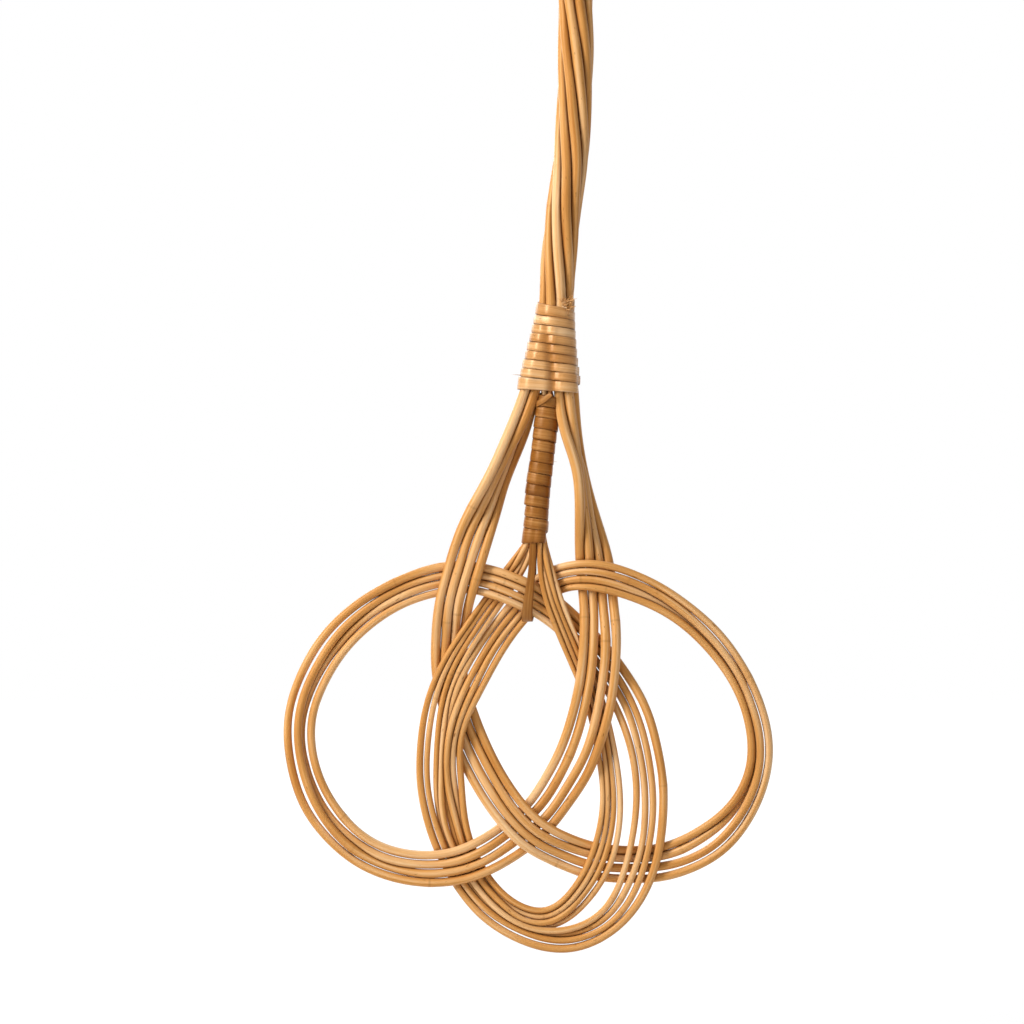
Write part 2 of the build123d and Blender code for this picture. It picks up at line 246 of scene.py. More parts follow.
@dataclass(frozen=True)
class Marks:
    """The marks in rattan's bark: their scales per metre, their edges and how much they count."""

    fibre_scale: Triple = (3600.0, 3600.0, 70.0)
    patch_scale: Triple = (70.0, 70.0, 16.0)
    fleck_scale: Triple = (900.0, 900.0, 210.0)
    sparse_scale: Triple = (40.0, 40.0, 34.0)
    streak_light: float = 0.62
    patch_light: float = 0.55
    fibre_light: float = 0.16
    tone_light: float = 0.34
    dimming: float = 0.33
    stop_places: Triple = (0.22, 0.50, 0.80)
    fleck_edges: Pair = (0.70, 0.75)
    sparse_edges: Pair = (0.50, 0.60)
    fleck_strength: float = 0.75
    ring_edges: Pair = (0.2 * MM, 1.0 * MM)
    ring_least: float = 0.04
    ring_variety: float = 0.34
    # How much the painted shade in crevices darkens, and roughens, the bark
    shade_and_stain_least: float = 0.78
    shade_and_stain_variety: float = 0.5
    fibre_roughness: float = 0.22
    patch_roughness: float = 0.16
    shade_and_stain_roughness: float = 0.25
    streak_height: float = 0.5
    fibre_height: float = 0.5
    fleck_dip: float = 0.4
    ring_dip: float = 0.8
    relief_depth: float = 0.22 * MM


@dataclass(frozen=True)
class RattanFinish:
    """Rattan with its own glossy bark: long streaks, patches, flecks and painted shade in crevices.
    """

    name: str
    golden: Colour
    straw: Colour
    brown: Colour
    grain: Grain
    marks: Marks = Marks()
    # Dark brown that the painted shade in crevices mixes toward; the fibres take it as their own
    # stain
    crevice: Colour = (0.115, 0.024, 0.001)
    fleck: Colour = (0.190, 0.062, 0.008)
    roughness: float = 0.42
    coat: float = 0.08
    coat_roughness: float = 0.34
    specular: float = 0.42
    warmth: Colour = (1.0, 0.64, 0.36)
    relief: float = 0.17

    def material(self) -> Material:
        """Builds the material.

        Returns:
            The material, which reads straight, tone, knuckle and the painted crevice shade (with
            the fibres' stain) from the piece.
        """
        r = Recipe(bpy.data.materials.new(self.name))
        m = self.marks
        straight = r.attribute("straight", "Vector")
        knuckle = abs(r.attribute("knuckle"))
        crevice = r.attribute("crevice")
        streaks = r.noise(straight, self.grain.value, detail=3.0)
        fibres = r.noise(straight, m.fibre_scale, detail=2.0)
        patches = r.noise(straight, m.patch_scale, detail=2.0)
        flecks = r.noise(straight, m.fleck_scale, detail=1.0)
        sparse = r.noise(straight, m.sparse_scale, detail=1.0)
        flecked = (r.step(flecks, *m.fleck_edges) * r.step(sparse, *m.sparse_edges)
                   * m.fleck_strength)
        ring = (1.0 - r.step(knuckle, *m.ring_edges)) * (m.ring_least + sparse * m.ring_variety)
        # Painted shade: crevices between canes, seams between strip turns and strip undersides
        # darken toward the crevice brown; on the fibres this mix is their own stain
        shade_and_stain_share = crevice * (m.shade_and_stain_least + patches * m.shade_and_stain_variety)
        lightness = (streaks * m.streak_light + patches * m.patch_light + fibres * m.fibre_light
                     + r.attribute("tone") * m.tone_light - m.dimming)
        colour = r.node("ShaderNodeValToRGB", {"stops": self._stops()}, {"Fac": lightness})
        for share, over in ((flecked, self.fleck), (ring, self.fleck), (shade_and_stain_share, self.crevice)):
            colour = r.mix(share, colour, over)
        roughness = (self.roughness + (fibres - NOISE_MIDDLE) * m.fibre_roughness
                     + (patches - NOISE_MIDDLE) * m.patch_roughness + crevice * m.shade_and_stain_roughness)
        height = (streaks * m.streak_height + fibres * m.fibre_height - flecked * m.fleck_dip
                  - ring * m.ring_dip)
        bump = {"Strength": self.relief, "Distance": m.relief_depth, "Height": height}
        shader = {
            "Base Color": colour, "Roughness": roughness,
            "Coat Weight": (1.0 - crevice.upto(1.0)) * self.coat,
            "Coat Roughness": self.coat_roughness, "Specular IOR Level": self.specular,
            "Specular Tint": (*self.warmth, 1.0),
            "Normal": r.node("ShaderNodeBump", {}, bump),
        }
        return r.output(r.node("ShaderNodeBsdfPrincipled", {}, shader))

    def _stops(self) -> list[tuple[float, Colour]]:
        """Gives the stops from the brown streaks to the straw ones."""
        return list(zip(self.marks.stop_places, (self.brown, self.golden, self.straw)))


CANE_BARK = RattanFinish(
    "rattan_cane", golden=(0.630, 0.296, 0.080), straw=(0.890, 0.590, 0.315),
    brown=(0.400, 0.132, 0.014), grain=Grain.CANE)
PEELED_STRIP = RattanFinish(
    "peel_strip", golden=(0.630, 0.318, 0.108), straw=(0.880, 0.620, 0.360),
    brown=(0.440, 0.175, 0.035), grain=Grain.STRIP, roughness=0.28, coat=0.24, specular=0.75)
DARK_STRIP = RattanFinish(
    "dark_strip", golden=(0.285, 0.104, 0.016), straw=(0.560, 0.280, 0.090),
    brown=(0.150, 0.044, 0.004), grain=Grain.STRIP, roughness=0.36, specular=0.45,
    warmth=(1.0, 0.60, 0.30))


@dataclass(frozen=True)
class SawnFinish:
    """The porous end grain that a saw leaves."""

    name: str = "sawn_end"
    pith: Colour = (0.62, 0.42, 0.23)
    pore: Colour = (0.16, 0.075, 0.028)
    pores_per_metre: float = 2300.0
    pore_edges: Pair = (0.16, 0.32)
    pore_least: float = 0.35
    pore_variety: float = 0.8
    cloud_scale: Triple = (420.0, 420.0, 420.0)
    roughness: float = 0.72
    cloud_roughness: float = 0.2
    relief: float = 0.5
    relief_depth: float = 0.2 * MM

    def material(self) -> Material:
        """Builds the material.

        Returns:
            The material, which lies on Object coordinates.
        """
        r = Recipe(bpy.data.materials.new(self.name))
        place = r.node("ShaderNodeTexCoord", {}, None, "Object")
        cells = {"Vector": place, "Scale": self.pores_per_metre}
        pores = 1.0 - r.step(r.node("ShaderNodeTexVoronoi", {}, cells), *self.pore_edges)
        cloud = r.noise(place, self.cloud_scale, detail=3.0)
        darkness = pores * (self.pore_least + cloud * self.pore_variety)
        bump = {"Strength": self.relief, "Distance": self.relief_depth, "Height": cloud - pores}
        shader = {
            "Base Color": r.mix(darkness, self.pith, self.pore),
            "Roughness": self.roughness + cloud * self.cloud_roughness,
            "Normal": r.node("ShaderNodeBump", {}, bump),
        }
        return r.output(r.node("ShaderNodeBsdfPrincipled", {}, shader))


@dataclass(frozen=True)
class FloorFinish:
    """A pale floor that the camera sees as white but for the soft shadow."""

    name: str = "pale_floor"
    white: Colour = (0.90, 0.90, 0.90)
    glow_share: float = 0.62
    glow: float = 1.15
    near: float = 0.45
    far: float = 1.60

    def material(self) -> Material:
        """Builds the material.

        Returns:
            The material; its glow covers more and more of the floor from near to far.
        """
        r = Recipe(bpy.data.materials.new(self.name))
        matt = r.node("ShaderNodeBsdfDiffuse", {}, {"Color": (*self.white, 1.0)})
        glow = r.node("ShaderNodeEmission", {}, {"Strength": self.glow})
        place = r.node("ShaderNodeTexCoord", {}, None, "Object")
        away = r.node("ShaderNodeVectorMath", {"operation": "LENGTH"}, {0: place}, "Value")
        share = r.step(away, self.near, self.far) * (1.0 - self.glow_share) + self.glow_share
        return r.output(r.node("ShaderNodeMixShader", {}, {0: r.seen() * share, 1: matt, 2: glow}))


def natural_spline(knots: Array, values: Array, at: Array) -> Array:
    """Reads a natural cubic spline.

    Args:
        knots: Rising places of the known values.
        values: One row for each knot.
        at: The places that are wanted.

    Returns:
        One row for each of those places.
    """
    steps = np.diff(knots)
    count = len(knots)
    system = np.eye(count)
    right = np.zeros_like(values)
    slopes = np.diff(values, axis=0) / steps[:, None]
    for i in range(1, count - 1):
        system[i, i - 1:i + 2] = steps[i - 1], 2 * (steps[i - 1] + steps[i]), steps[i]
        right[i] = 6 * (slopes[i] - slopes[i - 1])
    curve = np.linalg.solve(system, right)
    i = np.clip(np.searchsorted(knots, at) - 1, 0, count - 2)
    h = steps[i][:, None]
    a = ((knots[i + 1] - at) / steps[i])[:, None]
    b = 1 - a
    bend = ((a ** 3 - a) * curve[i] + (b ** 3 - b) * curve[i + 1]) * h ** 2 / 6
    return a * values[i] + b * values[i + 1] + bend


def unit(vectors: Array) -> Array:
    """Gives every row the length 1."""
    return vectors / np.linalg.norm(vectors, axis=-1, keepdims=True)


def lengths_along(places: Array) -> Array:
    """Measures how far along a line each of its places lies."""
    steps = np.linalg.norm(np.diff(places, axis=0), axis=1)
    return np.concatenate([[0.0], np.cumsum(steps)])


def eased(share: Array) -> Array:
    """Lets a share from 0 to 1 start and end softly."""
    return share * share * (3 - 2 * share)


def section_angles(sides: int) -> Array:
    """Gives the angles of a round section's corners."""
    return np.arange(sides) * (math.tau / sides)


def ways_out(across: Array, up: Array, sides: int, flatness: float = 1.0) -> Array:
    """Gives the ways out of round sections, corner by corner.

    Args:
        across: The way across each section.
        up: The other way across it.
        sides: How many corners a section has.
        flatness: How high a section is for its width.

    Returns:
        One way for each corner of each section.
    """
    angles = section_angles(sides)
    cos, sin = np.cos(angles)[None, :, None], np.sin(angles)[None, :, None]
    return across[:, None] * cos + up[:, None] * sin * flatness


def laid_straight(sideways: Array, upward: Array, along: Array) -> Array:
    """Gives the corners that a piece would have if it were straight, for its pattern."""
    return np.stack(np.broadcast_arrays(sideways, upward, along[:, None]), -1)


def waves(rng: np.random.Generator, along: Array, length: float, size: float) -> Array:
    """Makes a soft unevenness.

    Args:
        rng: The source of chance.
        along: Places on the piece in metres.
        length: The usual length of a wave in metres.
        size: The usual height of a wave.

    Returns:
        The height at every place.
    """
    total = np.zeros_like(along)
    for _ in range(WAVE_COUNT):
        wave = length * rng.uniform(*WAVE_SPREAD)
        total += np.sin(along * (math.tau / wave) + rng.uniform(0, math.tau))
    return total * (size / math.sqrt(WAVE_COUNT))


def read_rings(node: str, sides: int) -> Array:
    """Reads the sections that a lofted node of the frame is made of.

    Args:
        node: The node's name.
        sides: How many corners each section has.

    Returns:
        The corners, section by section from one end to the other.
    """
    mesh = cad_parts[node].data
    known: dict[tuple[int, ...], int] = {}
    merged = []
    for vertex in mesh.vertices:
        key = tuple(round(c * CORNER_STEPS_PER_METRE) for c in vertex.co)
        merged.append(known.setdefault(key, len(known)))
    corners = np.zeros((len(known), 3))
    for vertex, index in zip(mesh.vertices, merged):
        corners[index] = vertex.co
    beside: list[set[int]] = [set() for _ in known]
    for a, b in (edge.vertices for edge in mesh.edges):
        if merged[a] != merged[b]:
            beside[merged[a]].add(merged[b])
            beside[merged[b]].add(merged[a])
    layers = walk({0}, beside)
    rings = walk(layers[-1], beside)
    if any(len(ring) != sides for ring in rings):
        raise ValueError(f"{node} isn't a row of {sides}-sided sections")
    return np.array([[corners[i] for i in sorted(ring)] for ring in rings])


def walk(start: set[int], beside: list[set[int]]) -> list[set[int]]:
    """Spreads over a mesh from its start.

    Args:
        start: The first corners.
        beside: The neighbours of each corner.

    Returns:
        The corners, layer by layer.
    """
    layers = [start]
    seen = set(start)
    while True:
        fresh = set().union(*(beside[i] for i in layers[-1])) - seen
        if not fresh:
            return layers
        seen |= fresh
        layers.append(fresh)


def make_piece(name: str, rings: Array, straight: Array) -> Piece:
    """Makes a closed mesh of rings with a flat face at both ends.

    Args:
        name: The piece's name.
        rings: The corners, ring by ring.
        straight: The same corners as they would lie if the piece were straight.

    Returns:
        The piece.
    """
    count, sides = rings.shape[:2]
    start = np.arange(count - 1)[:, None] * sides
    j = np.arange(sides)[None, :]
    after = (j + 1) % sides
    quads = np.stack([start + j, start + after, start + sides + after, start + sides + j], -1)
    faces = quads.reshape(-1, 4).tolist()
    faces.append(list(range(sides - 1, -1, -1)))
    faces.append(list(range((count - 1) * sides, count * sides)))
    mesh = bpy.data.meshes.new(name)
    mesh.from_pydata(rings.reshape(-1, 3).tolist(), [], faces)
    mesh.attributes.new("straight", "FLOAT_VECTOR", "POINT")
    mesh.attributes["straight"].data.foreach_set("vector", straight.astype(np.float32).ravel())
    piece = bpy.data.objects.new(name, mesh)
    bpy.context.scene.collection.objects.link(piece)
    work_on(piece, "SELECT")
    bpy.ops.mesh.normals_make_consistent(inside=False)
    bpy.ops.object.mode_set(mode="OBJECT")
    bpy.ops.object.shade_smooth_by_angle(angle=SMOOTH_BELOW)
    return piece


def work_on(piece: Piece, choice: str) -> None:
    """Opens one piece in edit mode.

    Args:
        piece: The piece, which becomes the only one selected.
        choice: SELECT for the whole of its mesh, DESELECT for none of it.
    """
    bpy.ops.object.select_all(action="DESELECT")
    piece.select_set(True)
    bpy.context.view_layer.objects.active = piece
    bpy.ops.object.mode_set(mode="EDIT")
    bpy.ops.mesh.select_all(action=choice)


def mark(piece: Piece, shape: tuple[int, int], **marks: Any) -> None:
    """Keeps the marks that the finish reads at each corner.

    Args:
        piece: The piece.
        shape: How many rings it has, and how many corners a ring has.
        marks: Each mark's numbers, which broadcast to that shape.
    """
    for name, numbers in marks.items():
        made = piece.data.attributes.new(name, "FLOAT", "POINT")
        made.data.foreach_set("value", np.broadcast_to(numbers, shape).astype(np.float32).ravel())


def hand_over(piece: Piece, slot: str, *nodes: str) -> None:
    """Lets a finished piece ride on the beater.

    Args:
        piece: The piece.
        slot: The material slot of its finish; not used.
        nodes: The nodes that it stands for, if any.
    """
    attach(piece, "root")
    if nodes:
        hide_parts(*nodes)
    log.info("%s: %d faces", piece.name, len(piece.data.polygons))


@dataclass
class Cane:
    """One tapering rattan cane of the beater."""

    node: str
    seed: int
    stout: float = 0.0
    stout_start: float = 0.50
    stout_rise: float = 0.12
    stout_end: float = 0.92
    stout_fall: float = 0.08
    section_sides: int = 8
    # To its corners a solid's section is this much wider than a round one of the same area
    outline_share: float = 1.0538
    fullness: float = 1.035
    sides: int = 18
    step: float = 2.0 * MM
    held_length: float = 25 * MM
    wander: float = 0.16 * MM
    wander_length: float = 60 * MM
    unevenness: float = 0.022
    uneven_length: float = 75 * MM
    knuckle_count: int = 12
    knuckle_gap: Pair = (0.165, 0.250)
    knuckle_start: Pair = (0.02, 0.12)
    knuckle_swell: float = 0.050
    knuckle_half: float = 3.2 * MM
    deepest_press: float = 0.9 * MM
    press_share: float = 0.5
    press_room: float = 0.03 * MM
    # How far the painted shade between touching canes spreads, wider in the handle than in the head
    handle_fade: float = 0.8
    head_fade: float = 2.1
    tones: Pair = (0.25, 0.75)
    tone_seed: int = 50
    pattern_shift: float = 0.37
    centres: Array = field(init=False)
    radii: Array = field(init=False)
    along: Array = field(init=False)
    knuckle: Array = field(init=False)

    def trace(self) -> None:
        """Finds the centre line and the thickness from the frame."""
        rings = read_rings(self.node, self.section_sides)
        middles = rings.mean(1)
        if middles[0, 2] < middles[-1, 2]:
            rings, middles = rings[::-1], middles[::-1]
        sizes = np.linalg.norm(rings - middles[:, None], axis=2).mean(1)
        sizes = sizes * (self.fullness / self.outline_share)
        knots = lengths_along(middles)
        self.along = np.linspace(0, knots[-1], int(knots[-1] / self.step) + 1)
        both = natural_spline(knots, np.column_stack([middles, sizes]), self.along)
        self.centres, self.radii = both[:, :3], both[:, 3]
        self._roughen()

    def _roughen(self) -> None:
        """Adds what makes a grown cane: a slight wander, uneven thickness and knuckles."""
        rng = np.random.default_rng(self.seed)
        from_end = np.minimum(self.along, self.along[-1] - self.along)
        free = np.clip(from_end / self.held_length, 0, 1)
        for axis in range(3):
            self.centres[:, axis] += waves(rng, self.along, self.wander_length, self.wander) * free
        share = self.along / self.along[-1]
        late = (np.clip((share - self.stout_start) / self.stout_rise, 0, 1)
                * np.clip((self.stout_end - share) / self.stout_fall, 0, 1))
        self.radii = self.radii * (1 + self.stout * eased(late))
        uneven = waves(rng, self.along, self.uneven_length, self.unevenness)
        self.radii = self.radii * (1 + uneven)
        places = np.cumsum(rng.uniform(*self.knuckle_gap, self.knuckle_count))
        places = places - rng.uniform(*self.knuckle_start)
        away = self.along[:, None] - places[None, :]
        nearest = np.abs(away).argmin(1)
        self.knuckle = away[np.arange(len(away)), nearest]
        bulge = np.exp(-(self.knuckle / self.knuckle_half) ** 2) * self.knuckle_swell
        self.radii = self.radii * (1 + bulge)

    def build(self, crowd: "Crowd", index: int) -> Piece:
        """Makes the cane, pressed flat where it meets others.

        Args:
            crowd: Where all the canes lie.
            index: This cane's number in the crowd.

        Returns:
            The piece.
        """
        outward = ways_out(*self._ways_across(), self.sides)
        rings = self.centres[:, None] + outward * self.radii[:, None, None]
        rings[0, :, 2] = 0.0
        gaps = crowd.gaps(rings, index)
        pressed = (np.clip(-gaps, 0, self.deepest_press) * self.press_share
                   + np.where(gaps < 0, self.press_room, 0.0))
        pressed[0] = 0.0
        rings = rings - outward * pressed[:, :, None]
        angles = section_angles(self.sides)
        sideways = self.radii[:, None] * np.cos(angles) + self.seed * self.pattern_shift
        straight = laid_straight(sideways, self.radii[:, None] * np.sin(angles), self.along)
        piece = make_piece(self.node + "_skin", rings, straight)
        # Painted shade: each corner darkens as another cane's surface comes near
        in_handle = rings[:, :, 2] > BINDING_TOP_HEIGHT * MM
        fade = np.where(in_handle, self.handle_fade, self.head_fade)
        rng = np.random.default_rng(self.seed + self.tone_seed)
        mark(piece, gaps.shape, crevice=np.clip(1 - gaps / crowd.reach, 0, 1) ** fade,
             knuckle=self.knuckle[:, None], tone=rng.uniform(*self.tones))
        return piece

    def _ways_across(self) -> tuple[Array, Array]:
        """Carries a section along the cane without turning it.

        Returns:
            The two ways across the cane at each place.
        """
        ways = unit(np.gradient(self.centres, axis=0))
        sides = [unit(np.cross(ways[0], (0.0, 1.0, 0.0)))]
        for way in ways[1:]:
            side = sides[-1] - way * sides[-1].dot(way)
            sides.append(side / np.linalg.norm(side))
        across = np.array(sides)
        return across, np.cross(ways, across)


@dataclass
class Crowd:
    """All the canes' centre lines, to find how near a surface comes to the others."""

    canes: list[Cane]
    reach: float = 1.6 * MM
    slice_half: float = 1.3 * MM
    least_cover: float = -0.5 * MM

    def __post_init__(self) -> None:
        """Plants the centre lines in one search tree."""
        self.owner = np.concatenate([np.full(len(c.centres), i) for i, c in enumerate(self.canes)])
        self.places = np.concatenate([c.centres for c in self.canes])
        self.radii = np.concatenate([c.radii for c in self.canes])
        self.tree = kdtree.KDTree(len(self.places))
        for i, place in enumerate(self.places):
            self.tree.insert(place, i)
        self.tree.balance()

    def gaps(self, rings: Array, index: int) -> Array:
        """Measures the room beside every corner.

        Args:
            rings: The corners, ring by ring.
            index: The number of the cane that they belong to.

        Returns:
            The distance to the nearest other cane's surface, at most the reach.
        """
        flat = rings.reshape(-1, 3)
        found = np.full(len(flat), self.reach)
        span = self.reach + float(self.radii.max())
        for i, corner in enumerate(flat):
            for _, other, distance in self.tree.find_range(corner, span):
                if self.owner[other] != index:
                    found[i] = min(found[i], distance - self.radii[other])
        return found.reshape(rings.shape[:2])

    def cover(self, places: Array, outward: Array, axis: Array, reach: float) -> Array:
        """Measures how far the canes reach out beneath a strip.

        Args:
            places: Places on the strip's line.
            outward: The way out of the bundle at each.
            axis: The way along the bundle.
            reach: How far out of the strip's line a cane may still belong to the bundle.

        Returns:
            How far out of each place the canes' surface lies.
        """
        found = np.full(len(places), self.least_cover)
        for i, (place, out) in enumerate(zip(places, outward)):
            away = self.places - place
            high = away @ out
            beside = np.abs(away @ np.cross(axis, out))
            near = (np.abs(away @ axis) < self.slice_half) & (beside < self.radii) & (high < reach)
            if near.any():
                found[i] = (high[near] + np.sqrt(self.radii[near] ** 2 - beside[near] ** 2)).max()
        return found


@dataclass(kw_only=True)
class Strip:
    """A flat strip of rattan peel with a crowned face."""

    node: str
    seed: int
    thickness: float = 0.9 * MM
    fray: float = 0.05 * MM
    fray_length: float = 9 * MM
    tilt: float = 0.0
    tone: float = 0.5
    tone_waves: float = 0.20
    tone_length: float = 70 * MM
    # Depth of the painted shade along the strip's edges, where the turns meet
    edge_shade: float = 0.6
    edge_sharpness: int = 8
    pattern_shift: float = 0.41
    across_shares: tuple[float, ...] = (-1.0, -0.965, -0.86, -0.50, 0.0, 0.50, 0.86, 0.965, 1.0)
    crown_shares: tuple[float, ...] = (0.05, 0.60, 0.86, 0.97, 1.0, 0.97, 0.86, 0.60, 0.05)

    def lay(self, along: Array, centres: Array, width: Array, outward: Array,
            half: Array, shade: float | Array = 0.0) -> Piece:
        """Lays the crowned section along a line.

        Args:
            along: The places of the sections, measured on the line.
            centres: The middles of the sections.
            width: The way across the strip at each section.
            outward: The way its crowned face looks at each section.
            half: Half the strip's width at each section.
            shade: How much painted shade browns the strip at each section.

        Returns:
            The piece.
        """
        rng = np.random.default_rng(self.seed)
        back = self.across_shares[-2:0:-2]
        shares = np.array(self.across_shares + back)
        heights = np.array(self.crown_shares + (-1.0,) * len(back))
        fray = waves(rng, along, self.fray_length, self.fray)
        sideways = half[:, None] * shares[None, :] + fray[:, None] * np.sign(shares)[None, :]
        upward = self.thickness / 2 * heights - self.tilt * shares + np.zeros((len(along), 1))
        rings = (centres[:, None] + width[:, None] * sideways[:, :, None]
                 + outward[:, None] * upward[:, :, None])
        straight = laid_straight(sideways + self.seed * self.pattern_shift, upward, along)
        piece = make_piece(self.node + "_skin", rings, straight)
        # Painted shade along both edges, where the turns meet, and over the whole hidden underside
        edge = np.abs(shares) ** self.edge_sharpness * self.edge_shade
        tone = self.tone + waves(rng, along, self.tone_length, self.tone_waves) - shade
        mark(piece, rings.shape[:2], crevice=np.where(heights < 0, 1.0, edge), knuckle=1.0,
             tone=tone[:, None])
        return piece


@dataclass(kw_only=True)
class Winding(Strip):
    """A strip wound round a bundle of canes, turn beside turn, and pulled tight over them.

    A bundle's two half widths are across the beater and from front to back. Where it parts in
    two, the strip rises over both (lobe), and painted shade browns its front in the hollow
    between them (shade).
    """

    first: Vector
    last: Vector
    first_half: Pair
    last_half: Pair
    turns: int
    lead: float = 0.0
    tilt: float = 0.13 * MM
    gap: float = 0.10 * MM
    slack: float = 0.0
    slant: float = 0.0
    reach: float = 0.0
    deepest: float = 10.7 * MM
    samples_per_turn: int = 96
    wobble: float = 0.10 * MM
    wobble_length: float = 40 * MM
    wobble_stretch: float = 6.0
    wobble_seed: int = 7
    least_lift: float = -0.3 * MM
    bridges_per_turn: int = 20
    tuck: float = 0.8 * MM
    tuck_turns: float = 0.06
    level_end: bool = False
    level_turns: float = 0.35
    raised_start: float = 0.0
    raised_until: float = 1.2
    raised_at_most: float = 0.9
    lobe: float = 0.0
    shade: float = 0.0
    parting_start: float = 0.10
    parting_share: float = 0.35
    hollow_first: float = -7.0 * MM
    hollow_last: float = 2.2 * MM
    hollow_half: float = 2.6 * MM

    def build(self, crowd: Crowd) -> Piece:
        """Winds the strip.

        Args:
            crowd: Where the canes lie that it holds.

        Returns:
            The piece.
        """
        rng = np.random.default_rng(self.seed + self.wobble_seed)
        count = round((self.turns + self.lead) * self.samples_per_turn)
        turn = np.linspace(-self.lead, self.turns, count + 1)
        share = turn / self.turns
        cos, sin = np.cos(turn * math.tau), np.sin(turn * math.tau)
        first, last = np.array(self.first), np.array(self.last)
        growth = np.array(self.last_half) - self.first_half
        wide, deep = (np.array(self.first_half) + growth * share[:, None]).T
        level = np.zeros(len(turn))
        flat = np.column_stack([wide * cos, deep * sin, level])
        outward = unit(np.column_stack([deep * cos, wide * sin, level]))
        middles = first + (last - first) * share[:, None]
        axis = unit(first - last)
        parted = np.clip((share - self.parting_start) / self.parting_share, 0, 1)
        hollow = self._hollow(flat[:, 0], share)
        lift = self._pull_tight(crowd.cover(middles + flat, outward, axis, self.reach))
        lift = lift + self.lobe * (parted * (1 - hollow) * np.abs(sin)) - self._tucked(turn)
        centres = middles + flat + outward * (lift + self.thickness / 2 + self.slack)[:, None]
        centres[:, 1] = np.clip(centres[:, 1], -self.deepest, self.deepest)
        top, foot = self._edges(turn)
        pitch = float(np.linalg.norm(last - first)) / self.turns
        places = turn * pitch * self.wobble_stretch
        shift = (top + foot) / 2 * pitch + waves(rng, places, self.wobble_length, self.wobble)
        shift = shift + self.slant * flat[:, 0]
        centres = centres - axis * (shift - turn * pitch)[:, None]
        half = (foot - top) / 2 * pitch - self.gap / 2
        # Painted shade that browns the strip's front in the hollow between the two bundles
        shade = self.shade * parted * hollow * (sin < 0)
        width = np.broadcast_to(axis, centres.shape)
        return self.lay(lengths_along(centres), centres, width, outward, half, shade)

    def _hollow(self, across: Array, share: Array) -> Array:
        """Tells how near the strip is to the middle of the hollow."""
        middle = self.hollow_first + (self.hollow_last - self.hollow_first) * share
        return np.exp(-((across - middle) / self.hollow_half) ** 2)

    def _tucked(self, turn: Array) -> Array:
        """Tells how far both ends are tucked in."""
        ends = np.minimum(turn - turn[0], turn[-1] - turn)
        return self.tuck * np.clip(1 - ends / self.tuck_turns, 0, 1) ** 2

    def _edges(self, turn: Array) -> tuple[Array, Array]:
        """Finds the edges of the strip.

        Args:
            turn: How many turns each section is from the first middle.

        Returns:
            The upper and the lower edge, in turns below the first middle.
        """
        raised = np.clip(self.raised_until - turn, 0, self.raised_at_most)
        top = turn - 0.5 - self.raised_start * raised
        foot = turn + 0.5
        if self.level_end:
            late = np.clip((turn - (self.turns - 1.0)) / self.level_turns, 0, 1)
            foot = foot + (self.turns + 0.5 - foot) * eased(late)
        return top, foot

    def _pull_tight(self, lift: Array) -> Array:
        """Lets the strip span the hollows between the canes and bend softly over them.

        Args:
            lift: How far out the canes reach at each section.

        Returns:
            How far out the strip lies.
        """
        reach = self.samples_per_turn // self.bridges_per_turn
        padded = np.pad(lift, reach, mode="edge")
        highest = np.max([padded[i:i + len(lift)] for i in range(2 * reach + 1)], axis=0)
        spread = np.arange(-reach, reach + 1) / (reach / 2)
        weights = np.exp(-spread ** 2 / 2)
        padded = np.pad(highest, reach, mode="edge")
        soft = sum(w * padded[i:i + len(lift)] for i, w in enumerate(weights)) / weights.sum()
        return np.maximum(soft, self.least_lift)


@dataclass(kw_only=True)
class LaidStrip(Strip):
    """A flat strip that is laid along a route of its own, given by spots of the photograph."""

    route: tuple[Triple, ...]
    half_widths: tuple[float, ...]
    across: Triple
    sections: int = 72

    def build(self) -> Piece:
        """Lays the strip.

        Returns:
            The piece, on a smooth line through the route.
        """
        places = np.array([at_photo(*spot) for spot in self.route])
        knots = lengths_along(places)
        along = np.linspace(0, knots[-1], self.sections)
        centres = natural_spline(knots, places, along)
        ways = unit(np.gradient(centres, axis=0))
        side = np.array(self.across)
        width = unit(side[None] - ways * (ways @ side)[:, None])
        half = np.interp(along, knots, self.half_widths)
        return self.lay(along, centres, width, np.cross(ways, width), half)


